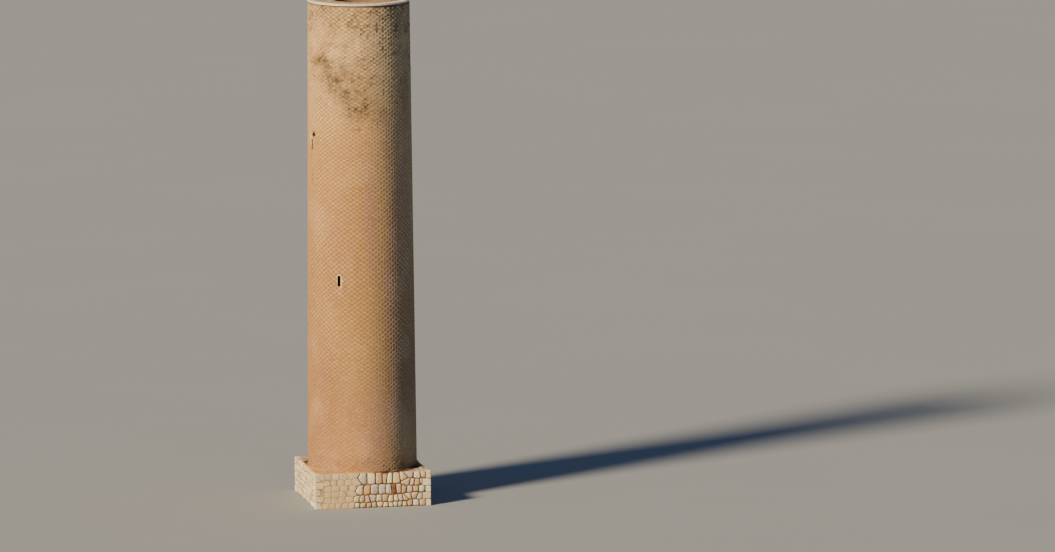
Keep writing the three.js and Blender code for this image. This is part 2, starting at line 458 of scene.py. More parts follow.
def plaster_material():
    """Pale lime plaster smeared round the slit windows."""
    shader = Shader("lime_plaster")
    paint = shader.attribute("paint", "Color")
    broad = shader.noise(7.0, 4.0)
    grain = shader.noise(70.0, 6.0, 0.7)
    colour = shader.mottle(paint, broad, 0.4, 0.65, 0.6, rgb(222, 206, 188))
    colour = shader.mottle(colour, grain, 0.4, 0.75, 0.6, rgb(196, 178, 160))
    return shader.finish(colour, 0.9, shader.math("ADD", broad, grain), 0.005)


def painted_shade_reveal_material():
    """Brick and mortar inside the slit windows and the scaffold hole, painted dark brown as shade."""
    shader = Shader("reveal_in_painted_shade")
    broad = shader.noise(6.0, 4.0)
    grain = shader.noise(50.0, 6.0, 0.7)
    colour = shader.mix(shader.spread(broad, 0.35, 0.65), rgb(88, 62, 38), rgb(60, 44, 30))
    return shader.finish(colour, 0.95, shader.math("ADD", broad, grain), 0.006)


def floor_material():
    """Plain pale studio floor."""
    shader = Shader("studio_floor")
    grain = shader.noise(0.05, 2.0)
    colour = shader.mix(grain, rgb(156, 156, 152), rgb(160, 160, 156))
    return shader.finish(colour, 0.95, grain, 0.0)


BRICK = brick_material()
MORTAR = mortar_material()
WELL_BRICK = well_brick_material()
PAINTED_SHADE_REVEAL = painted_shade_reveal_material()
STONE = stone_material()
THRESHOLD = threshold_material()
PLASTER = plaster_material()
LEDGE_EARTH = earth_material("ledge_earth", 0.014)
WALL_HEAD_EARTH = earth_material("wall_head_earth", 0.014)
PLINTH_MORTAR = earth_material("plinth_mortar", 0.02)


# Meshes


def new_object(name, points, faces, materials, finishes=None):
    """A mesh object in the scene. Finishes gives each face's material, where there are several."""
    mesh = bpy.data.meshes.new(name)
    mesh.from_pydata([tuple(p) for p in points], [], faces)
    for material in materials:
        mesh.materials.append(material)
    if finishes is not None:
        mesh.polygons.foreach_set("material_index", [materials.index(finish) for finish in finishes])
    mesh.validate()
    mesh.update()
    thing = bpy.data.objects.new(name, mesh)
    bpy.context.scene.collection.objects.link(thing)
    return thing


def add_piece(name, points, faces, materials, finishes=None):
    piece = new_object(name, points, faces, materials, finishes)
    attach(piece, "root")
    return piece


def set_paint(piece, colours):
    """Gives each point of a piece its colour and, where there is a fourth value, how worn it is."""
    values = np.zeros((len(colours), 4), dtype=np.float32)
    given = np.clip(np.asarray(colours, dtype=np.float32), 0.0, 1.0)
    values[:, :given.shape[1]] = given
    attribute = piece.data.attributes.new("paint", "FLOAT_COLOR", "POINT")
    attribute.data.foreach_set("color", values.ravel())


def smooth(piece):
    piece.data.polygons.foreach_set("use_smooth", [True] * len(piece.data.polygons))


def loft(size, rings, start=0, closed=False, turned=False):
    """Faces between rings of size points each, and from the last ring to the first where it is closed."""
    faces = []
    for ring in range(rings if closed else rings - 1):
        here = start + ring * size
        there = start + (ring + 1) % rings * size
        for k in range(size):
            step = (k + 1) % size
            face = (here + k, here + step, there + step, there + k)
            faces.append((face[0], face[3], face[2], face[1]) if turned else face)
    return faces


def cap(size, start=0, turned=False):
    """One face over a ring of points."""
    corners = range(start, start + size)
    return tuple(reversed(corners)) if turned else tuple(corners)


def box_faces(size, start=0):
    """Faces of an upright solid: its underside, its top and its sides."""
    return [cap(size, start, turned=True), cap(size, start + size)] + loft(size, 2, start)


def tube(size, rings, start):
    """Faces of a solid whose rings of points turn the other way, with both its ends."""
    last = start + (rings - 1) * size
    return loft(size, rings, start, turned=True) + [cap(size, start), cap(size, last, turned=True)]


class Blocks:
    """Gathers chamfered blocks into one mesh. A block's front face is at its origin, facing out."""

    def __init__(self):
        self.points = []
        self.faces = []
        self.paints = []

    def add(self, origin, axes, size, paint, chamfer=0.004, wobble=0.0015):
        right, up, out = axes
        length, height, depth = size
        corners = SQUARE * (length / 2, height / 2) + rng.normal(0.0, wobble, (4, 2))
        rings = ((corners, -depth), (corners, -chamfer), (corners - SQUARE * chamfer, 0.0))
        start = 12 * len(self.points)
        self.points.append([origin + u * right + v * up + w * out for ring, w in rings for u, v in ring])
        self.faces += loft(4, 3, start) + [cap(4, start + 8), cap(4, start, turned=True)]
        self.paints.append(paint)

    def piece(self, name, material, slot):
        piece = add_piece(name, np.concatenate(self.points), self.faces, [material])
        set_paint(piece, np.repeat(self.paints, 12, axis=0))
        return piece


CORE_MATERIALS = [MORTAR, WELL_BRICK, WALL_HEAD_EARTH, PAINTED_SHADE_REVEAL]


def prism(name, plan, low, high, finish):
    """A closed upright solid over a plan outline, as a bare object that cuts and leaves its material."""
    points = [(x, y, z) for z in (low, high) for x, y in plan]
    faces = box_faces(len(plan))
    return new_object(name, points, faces, CORE_MATERIALS, [finish] * len(faces))


def cut_away(piece, cutters):
    """Cuts each closed cutter out of the piece, and removes the cutter."""
    for cutter in cutters:
        modifier = piece.modifiers.new("cut", "BOOLEAN")
        modifier.operation = "DIFFERENCE"
        modifier.solver = "EXACT"
        modifier.object = cutter
    bpy.context.view_layer.update()
    evaluated = piece.evaluated_get(bpy.context.evaluated_depsgraph_get())
    mesh = bpy.data.meshes.new_from_object(evaluated)
    piece.modifiers.clear()
    piece.data = mesh
    for cutter in cutters:
        bpy.data.objects.remove(cutter)


# Weathering, colour and painted shade of the shaft's face

HIGH_BRICK = tint(228, 176, 112)
LOW_BRICK = tint(192, 142, 91)
HEAD_BRICK = tint(255, 218, 152)
GOLDEN_BRICK = tint(222, 175, 107)
PINK_BRICK = tint(200, 144, 117)
PALE_BRICK = tint(234, 192, 136)
CREAM_BRICK = tint(250, 216, 160)
HOLE_PAINTED_SHADE = tint(66, 46, 30)
STAIN = tint(124, 106, 86)
OLIVE = tint(118, 100, 52)
REPAIR = tint(228, 172, 136)
DUSTY_BRICK = tint(226, 196, 160)
HIGH_MORTAR = tint(208, 158, 98)
LOW_MORTAR = tint(180, 134, 86)
HEAD_MORTAR = tint(238, 196, 140)
GROOVE_MORTAR = tint(150, 112, 80)

# Painted shade: red, green and blue of brick on the side that gets little sun, as shares of those of brick
# in the sun, giving it the bluish dull look of brick in shade
SHADED_TONE = np.array([0.78, 1.11, 1.80])

# Heights over which the face changes, as start and span
PALER_UPWARDS = (6.5, 13.5)
HEAD_COLOUR = (18.5, 5.5)
HEAD_MORTAR_SHADE = (19.0, 2.5)
WORN_HIGH_UP = (19.6, 3.0)
WORN_HEAD = (23.6, 0.7)

# The same from above, as end and span
WORN_FOOT = (2.6, 0.6)
PINK_BELOW = (21.5, 3.0)
FILLED_JOINTS = (FILLED_BELOW + 1.8, 1.8)

# Azimuths of the side that gets little sun and takes the painted shade, as middle, half width and span at
# each end
PAINTED_SHADE_MIDDLE = 95.0
PAINTED_SHADE_HALF_WIDTH = (106.0, 52.0)

# Worn places, as azimuth, height, half width in degrees, half height and strength
WORN = [
    (-64.0, 22.75, 15.0, 0.36, 0.95),
    (-50.0, 22.3, 12.0, 0.60, 0.85),
    (-40.0, 21.7, 13.0, 0.65, 0.90),
    (-27.0, 22.2, 9.0, 0.50, 0.72),
    (-28.0, 21.1, 14.0, 0.65, 0.90),
    (-12.0, 20.3, 18.0, 0.60, 0.75),
    (12.0, 20.0, 16.0, 0.60, 0.38),
    (-16.0, 21.4, 26.0, 1.00, 0.45),
    (-2.0, 22.8, 26.0, 1.10, 0.50),
    (-9.0, 21.3, 22.0, 1.70, 0.54),
    (52.0, 21.6, 14.0, 2.60, 0.25),
    (84.0, 22.8, 22.0, 0.80, 0.70),
    (120.0, 21.7, 24.0, 0.90, 0.60),
    (168.0, 23.4, 20.0, 0.70, 0.60),
    (205.0, 21.3, 26.0, 0.80, 0.70),
    (246.0, 22.6, 16.0, 0.90, 0.55),
    (150.0, 4.3, 16.0, 0.50, 0.45),
]

# The clean place near the head's left, as azimuth, height, half width in degrees and half height
CLEAN_PLACE = (-60.0, 24.35, 15.0, 0.60)

# The bricks missing round the scaffold hole, where the mortar is painted dark as shade, in the same terms
MISSING_BRICK = (HOLE_AZIMUTH, HOLE_LEVEL, 3.4, 0.10)

# Places of another colour, as azimuth, height, half width in degrees, half height, colour and strength
PATCHES = [
    (-63.0, 22.68, 14.0, 0.36, OLIVE, 0.90),
    (-44.0, 22.0, 20.0, 0.80, STAIN, 0.32),
    (-29.0, 21.2, 18.0, 0.70, STAIN, 0.30),
    (-8.0, 20.2, 26.0, 0.65, STAIN, 0.28),
    (-27.0, 22.2, 9.0, 0.42, STAIN, 0.36),
    (-30.0, 22.2, 8.0, 0.55, STAIN, 0.45),
    (-2.0, 21.15, 12.0, 0.55, STAIN, 0.28),
    (54.0, 21.2, 15.0, 3.00, STAIN, 0.34),
    (-38.5, 12.25, 4.5, 0.30, REPAIR, 0.60),
    (-31.0, 12.25, 3.0, 0.22, REPAIR, 0.45),
    (-33.6, 11.02, 4.0, 0.22, REPAIR, 0.65),
    (-65.6, 18.95, 2.6, 0.13, CREAM_BRICK, 0.90),
    (-81.5, 18.75, 5.0, 0.42, CREAM_BRICK, 0.70),
    (-78.0, 17.85, 1.6, 0.55, OLIVE, 0.35),
    (-76.5, 16.75, 1.8, 0.40, STAIN, 0.50),
    (-71.0, 17.35, 3.0, 0.40, REPAIR, 0.40),
    (-20.0, 20.2, 9.0, 0.35, PALE_BRICK, 0.40),
    (-55.0, 20.6, 14.0, 1.20, PALE_BRICK, 0.30),
    (31.0, 9.6, 9.0, 4.2, DUSTY_BRICK, 0.32),
    (96.0, 12.8, 9.0, 0.60, REPAIR, 0.45),
    (150.0, 9.6, 10.0, 0.50, PALE_BRICK, 0.40),
    (214.0, 15.4, 9.0, 0.70, REPAIR, 0.40),
]


def wave(azimuth, height, scale, layer, stretch=1.0):
    """Smooth noise over the shaft's face, about -1 to 1."""
    place = on_shaft(azimuth, height / stretch, FOOT_RADIUS) * scale
    return noise.noise(Vector((place[0] + layer * 17.3, place[1], place[2])))


def inside_patch(azimuth, height, patch, ragged):
    """How far inside a ragged oval a place is, from 0 outside it to 1."""
    centre, level, half_width, half_height = patch
    across = turn_between(azimuth, centre) / half_width
    along = (height - level) / half_height
    if abs(across) > 2.2 or abs(along) > 2.2:
        return 0.0
    return within(1.3 - math.hypot(across, along) + ragged)


def filled_at(height):
    """How far the joints are filled and the courses uneven, from 0 high up to 1 near the foot."""
    return falling(height, *FILLED_JOINTS)


def joint_depth(height):
    return blend(JOINT_DEPTH, FILLED_JOINT_DEPTH, filled_at(height))


def wear_at(azimuth, height):
    """How worn the face is, from 0 to 1: in patches, all round the head and a little at the foot."""
    ragged = 0.5 * wave(azimuth, height, 1.4, 1) + 0.35 * wave(azimuth, height, 3.7, 2)
    most = 0.0
    for *patch, strength in WORN:
        most = max(most, strength * inside_patch(azimuth, height, patch, ragged))
    high_up = rising(height, *WORN_HIGH_UP) * (0.26 + 0.75 * ragged)
    at_head = rising(height, *WORN_HEAD) * (0.55 + 0.6 * ragged)
    at_foot = falling(height, *WORN_FOOT) * (0.22 + 0.5 * ragged)
    clean = inside_patch(azimuth, height, CLEAN_PLACE, 0.0)
    return within(max(most, high_up, at_head, at_foot) * (1.0 - 0.85 * clean))


def pit_at(azimuth, height, wear):
    """How deeply the face is pitted, in clusters a hand or two wide, from 0 to 1."""
    if wear < 0.04:
        return 0.0
    cluster = wave(azimuth, height, 5.2, 3) + 0.5 * wave(azimuth, height, 11.0, 4)
    return within(2.4 * (cluster - 0.34 + 0.34 * wear)) * within(0.35 + wear)


def painted_shade_share(azimuth):
    """How much painted shade the brick takes, from 0 on the side in the sun to 1 on the side that gets
    little of it.
    """
    return falling(abs(turn_between(azimuth, PAINTED_SHADE_MIDDLE)), *PAINTED_SHADE_HALF_WIDTH)


def head_share(azimuth, height):
    """How far brick and mortar have the pale colour of the head, less so on the side with painted shade."""
    return rising(height, *HEAD_COLOUR) * (1.0 - 0.6 * painted_shade_share(azimuth))


def drifted(azimuth, height, colour):
    """A colour with the face's broad drifts of golden, pink and pale brick, and with painted shade away
    from the sun.
    """
    golden = wave(azimuth, height, 0.45, 6, 2.5)
    colour = blend(colour, GOLDEN_BRICK, within(1.3 * golden + 0.15) * 0.5)
    streaks = wave(azimuth, height, 1.15, 7, 7.0)
    pinker = near(azimuth, 22.0, 42.0) * falling(height, *PINK_BELOW)
    pink = within(1.6 * streaks + 0.10) * (0.25 + 0.6 * pinker)
    colour = blend(colour, PINK_BRICK, pink)
    pale = wave(azimuth, height, 0.8, 8, 1.6)
    colour = blend(colour, PALE_BRICK, within(1.4 * pale - 0.15) * 0.45)
    # Painted shade: away from the sun the colour is shifted to how brick in shade looks
    return colour * (1.0 + (SHADED_TONE - 1.0) * painted_shade_share(azimuth))


def face_colour(azimuth, height, wear, pit, spread=0.08):
    """The colour of one brick: deeper low down, palest at the head, with painted shade where it is pitted
    and away from the sun.
    """
    colour = blend(LOW_BRICK, HIGH_BRICK, rising(height, *PALER_UPWARDS))
    colour = blend(colour, HEAD_BRICK, head_share(azimuth, height))
    colour = drifted(azimuth, height, colour)
    for *patch, patch_colour, strength in PATCHES:
        ragged = 0.4 * wave(azimuth, height, 4.0, 9)
        colour = blend(colour, patch_colour, strength * inside_patch(azimuth, height, patch, ragged))
    colour = blend(colour, STAIN, within(wear * rng.uniform(0.2, 1.1)) * 0.60)
    # Painted shade: a pitted brick is darkened as shade in its pits; the rest is each brick's own tone
    shade = (1.0 - 0.50 * pit) * within(rng.normal(1.0, spread), 0.75, 1.25)
    warmth = within(rng.normal(0.0, 0.05), -0.12, 0.12)
    return np.append(colour * shade * (1.0 + warmth, 1.0, 1.0 - 1.6 * warmth), wear)


def mortar_colour(azimuth, height, wear, pit):
    colour = blend(LOW_MORTAR, HIGH_MORTAR, rising(height, *PALER_UPWARDS))
    colour = blend(colour, HEAD_MORTAR, head_share(azimuth, height))
    colour = drifted(azimuth, height, colour)
    # Painted shade: the mortar where bricks are missing round the scaffold hole is darkened as if in shadow
    colour = blend(colour, HOLE_PAINTED_SHADE, inside_patch(azimuth, height, MISSING_BRICK, 0.6))
    colour = blend(colour, STAIN * 0.75, 0.6 * wear)
    whole_head = rising(height, *HEAD_MORTAR_SHADE) * within(1.0 - 1.4 * wear)
    # Painted shade: the mortar is kept darker than the brick, a dark joint that also stands in for the
    # shade deep in the joints, and lighter where the joints are filled near the foot and where the head is
    # whole
    colour = colour * (0.73 + 0.11 * filled_at(height) + 0.10 * whole_head)
    # Painted shade: pitted mortar is darkened as shade in the pits; the rest is its own tone
    shade = (1.0 - 0.55 * pit) * within(rng.normal(1.0, 0.04), 0.85, 1.15)
    return np.append(colour * shade, wear)


# Shaft


def gaps_at(low, high):
    """Spans that a course between two heights leaves out, as azimuth and half width in metres."""
    spans = []
    for azimuth, height in SLITS:
        if high > height - SLIT_HEIGHT / 2 and low < height + SLIT_HEIGHT / 2:
            spans.append((azimuth, SLIT_WIDTH / 2))
    if high > HOLE_LEVEL - HOLE_RISE / 2 and low < HOLE_LEVEL + HOLE_RISE / 2:
        spans.append((HOLE_AZIMUTH, MISSING_WIDTH / 2))
    if low < ARCH_SPRING:
        spans.append((DOOR_AZIMUTH, DOOR_HALF_WIDTH))
    elif low < ARCH_SPRING + ARCH_RADIUS:
        rise = low - ARCH_SPRING
        spans.append((DOOR_AZIMUTH, math.sqrt(ARCH_RADIUS**2 - rise**2)))
    return spans


def brick_pieces(azimuth, length, low, spans):
    """What is left of a brick, as azimuth and length, once the gaps are taken out of it."""
    radius = shaft_radius(low)
    parts = [(-length / 2, length / 2)]
    for centre, half in spans:
        middle = math.radians(turn_between(centre, azimuth)) * radius
        kept = []
        for start, end in parts:
            if middle + half <= start or middle - half >= end:
                kept.append((start, end))
                continue
            if middle - half - start > SHORTEST_BRICK:
                kept.append((start, middle - half))
            if end - middle - half > SHORTEST_BRICK:
                kept.append((middle + half, end))
        parts = kept
    return [(azimuth + math.degrees((a + b) / 2 / radius), b - a) for a, b in parts]


def lay_brick(blocks, azimuth, length, low, height):
    """Lays one face brick, set back, chipped, tilted or left out where the face is worn."""
    middle = low + height / 2
    wear = wear_at(azimuth, middle)
    pit = pit_at(azimuth, middle, wear)
    if rng.random() < 0.10 * wear * pit:
        return
    back = abs(rng.normal(0.0, 0.0022 + 0.003 * wear)) + PIT_DEPTH * pit * rng.uniform(0.5, 1.0)
    right, up, out = shaft_frame(azimuth)
    tilt = rng.normal(0.0, 0.005 + 0.012 * wear)
    right, up = right + tilt * up, up - tilt * right
    length = length * (1.0 - 0.22 * wear * rng.random() ** 2)
    height = height * (1.0 - 0.10 * wear * rng.random())
    blocks.add(
        on_shaft(azimuth, middle, shaft_radius(middle) - back),
        (right, up, out),
        (length, height, BRICK_DEPTH),
        face_colour(azimuth, middle, wear, pit),
        BRICK_CHAMFER * (1.0 + wear),
        0.0014 + 0.0025 * wear,
    )


def pair_feet():
    """Heights of the feet of the pairs of courses, and of the head of the last."""
    feet = [FOOT]
    while feet[-1] < BRICK_TOP - 0.05:
        feet.append(feet[-1] + float(np.interp(feet[-1], PAIR_AT, PAIR_HEIGHT)))
    scale = (BRICK_TOP - FOOT) / (feet[-1] - FOOT)
    return [FOOT + (foot - FOOT) * scale for foot in feet]


def add_face_bricks():
    """Pairs of brick courses up the shaft, as one piece for each lift."""
    feet = pair_feet()
    lifts = [Blocks() for _ in LIFT_FEET]
    for row, (foot, head) in enumerate(zip(feet, feet[1:])):
        brick_height = (head - foot) / 2 - BED_JOINT
        lift = sum(foot + 0.01 >= level for level in LIFT_FEET) - 1
        pitch = 360.0 / PAIRS_ROUND[lift]
        uneven = filled_at(foot)
        for course in (0, 1):
            low = foot + course * (head - foot) / 2 + BED_JOINT / 2
            spans = gaps_at(low, low + brick_height)
            for unit in range(PAIRS_ROUND[lift]):
                azimuth = (unit + 0.5 * (row % 2)) * pitch + rng.normal(0.0, 0.18 + 0.25 * uneven)
                length = BRICK_LENGTH + rng.normal(0.0, 0.008 + 0.014 * uneven)
                for place, part in brick_pieces(azimuth, length, low, spans):
                    lay_brick(lifts[lift], place, part, low, brick_height)
    for number, blocks in enumerate(lifts, 1):
        blocks.piece(f"shaft_bricks_lift_{number}", BRICK, "brickwork")


def slit_cutter(azimuth, height):
    """The slit's narrow neck and its reveal, which widens towards the well."""
    face = shaft_radius(height)
    narrow = SLIT_WIDTH / 2
    wide = SLIT_INNER_WIDTH / 2
    well_side = -WELL_RADIUS + narrow
    outline = [
        (-narrow, -face - CUT_MARGIN),
        (narrow, -face - CUT_MARGIN),
        (narrow, -face + SLIT_NECK),
        (wide, well_side),
        (-wide, well_side),
        (-narrow, -face + SLIT_NECK),
    ]
    cutter = prism("slit", outline, height - SLIT_HEIGHT / 2, height + SLIT_HEIGHT / 2, PAINTED_SHADE_REVEAL)
    cutter.matrix_world = Matrix.Rotation(math.radians(azimuth), 4, "Z")
    return cutter


def doorway_cutter():
    """The doorway, with room beside it for the bricks of its jambs and arch."""
    half = DOOR_HALF_WIDTH + JAMB_DEPTH
    arch = [(half * math.cos(t), ARCH_SPRING + half * math.sin(t)) for t in np.linspace(0.0, math.pi, 17)]
    outline = [(-half, FOOT - CUT_MARGIN), (half, FOOT - CUT_MARGIN)] + arch
    cutter = prism("doorway", outline, -DOOR_CUT_END, -DOOR_CUT_START, WELL_BRICK)
    cutter.matrix_world = Matrix.Rotation(math.pi / 2, 4, "X")
    return cutter


def hole_cutter():
    """The scaffold hole, which ends in the wall."""
    face = shaft_radius(HOLE_LEVEL)
    half = HOLE_WIDTH / 2
    front, back = -face - CUT_MARGIN, -face + HOLE_DEPTH
    outline = [(-half, front), (half, front), (half, back), (-half, back)]
    cutter = prism("hole", outline, HOLE_LEVEL - HOLE_RISE / 2, HOLE_LEVEL + HOLE_RISE / 2, PAINTED_SHADE_REVEAL)
    cutter.matrix_world = Matrix.Rotation(math.radians(HOLE_AZIMUTH), 4, "Z")
    return cutter


def core_profile():
    """Radius and height of the rings of the wall behind the bricks: outer face, head and inner face."""
    levels = np.linspace(FOOT, BRICK_TOP, WALL_LEVELS)
    outer = [(shaft_radius(z) - joint_depth(z), z) for z in levels]
    groove = shaft_radius(BRICK_TOP) - GROOVE_DEPTH
    bed = WALL_HEAD - BELOW_WALL_HEAD
    head = [(groove, BRICK_TOP), (groove, COPING_FOOT)]
    head += [(COPING_INNER, COPING_FOOT), (COPING_INNER, bed), (WELL_RADIUS, bed)]
    inner = [(WELL_RADIUS, z) for z in reversed(LIFT_FEET)]
    return outer, head, inner


def add_shaft_core():
    """The wall behind the face bricks: mortar outside, rough brick inside the well."""
    outer, head, inner = core_profile()
    profile = outer + head + inner
    points = []
    for ring, (radius, z) in enumerate(profile):
        for k in range(WALL_FACETS):
            azimuth = 360.0 * k / WALL_FACETS
            sunk = 0.0
            if 0 < ring < len(outer) - 1:
                wear = wear_at(azimuth, z)
                pit = pit_at(azimuth, z, wear)
                sunk = 0.030 * pit + 0.006 * wear + 0.003 * abs(wave(azimuth, z, 6.0, 10))
            points.append(on_shaft(azimuth, z, radius - sunk))
    faces = loft(WALL_FACETS, len(profile), closed=True)
    rings = [MORTAR] * (len(outer) + 1) + [WALL_HEAD_EARTH] * 3 + [WELL_BRICK] * (len(inner) + 1)
    finishes = [finish for finish in rings for _ in range(WALL_FACETS)]
    core = add_piece("shaft_wall_core", points, faces, CORE_MATERIALS, finishes)
    cut_away(core, [slit_cutter(a, z) for a, z in SLITS] + [doorway_cutter(), hole_cutter()])
    set_paint(core, [core_paint(vertex.co) for vertex in core.data.vertices])
    shaft_nodes = [name for name in frame["nodes"] if name.startswith("shaft_lift")]
    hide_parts("doorway_left_pier", "doorway_right_pier", *shaft_nodes)


def core_paint(place):
    """The colour of the mortar at a point of the wall, darker in the groove under the coping."""
    azimuth = math.degrees(math.atan2(place.x, -place.y))
    if place.z > BRICK_TOP + 0.001:
        return np.append(GROOVE_MORTAR, 0.5)
    wear = wear_at(azimuth, place.z)
    return mortar_colour(azimuth, place.z, wear, pit_at(azimuth, place.z, wear))


# Slit windows


def slit_edge():
    """Points round a slit's outline, each with its way outward and the number of its side."""
    corners = np.roll(SQUARE, -1, axis=0) * (SLIT_WIDTH / 2, SLIT_HEIGHT / 2)
    ways = np.array([(1.0, 0.0), (0.0, 1.0), (-1.0, 0.0), (0.0, -1.0)])
    edge = []
    for side, steps in enumerate((12, 5, 12, 5)):
        start, end = corners[side], corners[(side + 1) % 4]
        for k in range(steps):
            outward = ways[side] + ways[side - 1] if k == 0 else ways[side]
            edge.append((start + (end - start) * k / steps, outward, side))
    return edge


def add_slit_plaster():
    """Thin ragged smears of lime plaster round each slit."""
    points, faces, colours = [], [], []
    profile = [(0.0, -0.012), (0.0, 0.0015), (0.35, 0.0045), (0.75, 0.0035), (1.0, -0.001), (1.0, -0.012)]
    for number, (azimuth, height) in enumerate(SLITS):
        at_left_edge = abs(turn_between(azimuth, LEFT_EDGE_SLIT)) < 5.0
        reach = SURROUND_AT_LEFT_EDGE if at_left_edge else SURROUND
        colour = tint(246, 206, 156) if at_left_edge else tint(222, 200, 136)
        edge = slit_edge()
        start = len(points)
        for spot, outward, side in edge:
            ragged = noise.noise(Vector((spot[0] * 9.0 + number * 5.1, spot[1] * 9.0, outward[0])))
            width = reach[side] * within(1.0 + 1.3 * ragged, 0.3, 1.7)
            if at_left_edge:
                width *= within(0.5 + 3.0 * spot[1], 0.12)
            for share, out in profile:
                place = spot + outward * width * share
                level = height + place[1]
                turn = azimuth + metres_to_degrees(place[0], level)
                rough = rng.normal(0.0, 0.0006)
                points.append(on_shaft(turn, level, shaft_radius(level) + out + rough))
                colours.append(colour * rng.uniform(0.92, 1.04))
        faces += loft(len(profile), len(edge), start, closed=True, turned=True)
    piece = add_piece("slit_plaster", points, faces, [PLASTER])
    set_paint(piece, colours)


def add_slit_shade_linings():
    """Painted shade: dark sheets over the brick ends inside each slit's outer edge."""
    points, faces = [], []
    rims = [(0.002, LINING_START), (0.002, LINING_END)]
    rims += [(-LINING_THICKNESS, LINING_END), (-LINING_THICKNESS, LINING_START)]
    for azimuth, height in SLITS:
        right, up, out = shaft_frame(azimuth)
        faces += loft(4, len(rims), len(points), closed=True)
        for grow, inward in rims:
            for u, v in SQUARE:
                level = height + v * (SLIT_HEIGHT / 2 + grow)
                face = shaft_radius(level) - inward
                points.append(right * u * (SLIT_WIDTH / 2 + grow) + out * face + up * level)
    add_piece("slit_painted_shade_linings", points, faces, [PAINTED_SHADE_REVEAL])


# Doorway


def doorway_paint(height):
    return face_colour(DOOR_AZIMUTH, height, 0.15, 0.0, 0.10)


def add_doorway_arch():
    """Brick voussoirs round the doorway's head, and the bricks of the vault behind them."""
    blocks = Blocks()
    middle = (DOOR_HALF_WIDTH + ARCH_RADIUS) / 2
    towards_well = np.array([0.0, -1.0, 0.0])
    for k in range(VOUSSOIR_COUNT):
        angle = math.pi * (k + 0.5) / VOUSSOIR_COUNT
        radial = np.array([math.cos(angle), 0.0, math.sin(angle)])
        along = np.array([-math.sin(angle), 0.0, math.cos(angle)])
        x, z = middle * radial[0], ARCH_SPRING + middle * radial[2]
        y = math.sqrt(shaft_radius(z) ** 2 - x**2)
        width = math.pi * middle / VOUSSOIR_COUNT - BLOCK_JOINT
        size = (ARCH_RADIUS - DOOR_HALF_WIDTH - 0.004, width, VOUSSOIR_DEPTH)
        blocks.add(np.array([x, y - 0.004, z]), (-radial, along, -towards_well), size, doorway_paint(z))
        foot = DOOR_HALF_WIDTH * radial + np.array([0.0, 0.0, ARCH_SPRING])
        outside = math.sqrt(shaft_radius(foot[2]) ** 2 - foot[0] ** 2) - VOUSSOIR_DEPTH - 0.006
        inside = math.sqrt(WELL_RADIUS**2 - foot[0] ** 2)
        width = math.pi * DOOR_HALF_WIDTH / VOUSSOIR_COUNT - 0.007
        for y, length in brick_run(outside, inside, k % 2):
            place = np.array([foot[0], y, foot[2]])
            size = (length, width, JAMB_BRICK_DEPTH)
            blocks.add(place, (towards_well, along, -radial), size, doorway_paint(z))
    arch = blocks.piece("doorway_arch_bricks", BRICK, "brickwork")
    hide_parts("doorway_arch")


def brick_run(outside, inside, half_first):
    """Middles and lengths of bricks in a course that runs through the wall."""
    place = outside
    length = VAULT_BRICK / 2 if half_first else VAULT_BRICK
    runs = []
    while place - inside > SHORTEST_VAULT_BRICK:
        length = min(length, place - inside)
        runs.append((place - length / 2, length - 0.004))
        place -= length + BLOCK_JOINT
        length = VAULT_BRICK
    return runs


def add_doorway_jambs():
    """Courses of brick on both sides of the doorway, through the wall."""
    blocks = Blocks()
    courses = round((ARCH_SPRING - FOOT) / (PAIR_HEIGHT[0] / 2))
    rise = (ARCH_SPRING - FOOT) / courses
    for side in (-1.0, 1.0):
        axes = (np.array([0.0, -side, 0.0]), np.array([0.0, 0.0, 1.0]), np.array([-side, 0.0, 0.0]))
        for course in range(courses):
            z = FOOT + (course + 0.5) * rise
            outside = math.sqrt(shaft_radius(z) ** 2 - DOOR_HALF_WIDTH**2) - BRICK_DEPTH
            inside = math.sqrt(WELL_RADIUS**2 - DOOR_HALF_WIDTH**2)
            for y, length in brick_run(outside, inside, course % 2):
                place = np.array([side * DOOR_HALF_WIDTH, y, z])
                size = (length, rise - BLOCK_JOINT, JAMB_BRICK_DEPTH)
                blocks.add(place, axes, size, doorway_paint(z))
    blocks.piece("doorway_jamb_bricks", BRICK, "brickwork")


# Head of the shaft


def coping_colour(azimuth):
    """Tan cream in front and to the left, pinkish then grey towards the right."""
    cream, pinkish, grey = tint(255, 243, 210), tint(255, 240, 220), tint(250, 240, 218)
    return blend(blend(cream, pinkish, near(azimuth, 14.0, 10.0)), grey, near(azimuth, 34.0, 14.0))


def add_coping():
    """Cut coping stones let into the outer edge of the wall head."""
    inner = COPING_INNER
    gap = BLOCK_JOINT / COPING_RADIUS
    points, faces, colours = [], [], []
    for stone in range(COPING_COUNT):
        start = 2 * math.pi * stone / COPING_COUNT + gap / 2
        end = 2 * math.pi * (stone + 1) / COPING_COUNT - gap / 2
        drop = abs(rng.normal(0.0, 0.005))
        back = abs(rng.normal(0.0, 0.005))
        edge = rng.uniform(0.008, 0.02)
        low, high = COPING_FOOT, COPING_TOP - drop
        outer = COPING_RADIUS - back
        profile = [(inner, low), (outer - 0.008, low), (outer, low + 0.010), (outer, high - edge),
                   (outer - edge, high), (inner + 0.02, high), (inner, high - 0.02)]
        faces += tube(len(profile), COPING_STEPS + 1, len(points))
        for t in np.linspace(start, end, COPING_STEPS + 1):
            chip = rng.normal(0.0, 0.0015)
            points += [((r + chip) * math.sin(t), -(r + chip) * math.cos(t), z) for r, z in profile]
        paint = coping_colour(math.degrees((start + end) / 2)) * rng.uniform(0.88, 1.06)
        colours += [paint] * (len(points) - len(colours))
    coping = add_piece("coping_stones", points, faces, [STONE])
    set_paint(coping, colours)
    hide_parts(*[f"coping_slab_{k}" for k in range(1, 7)])


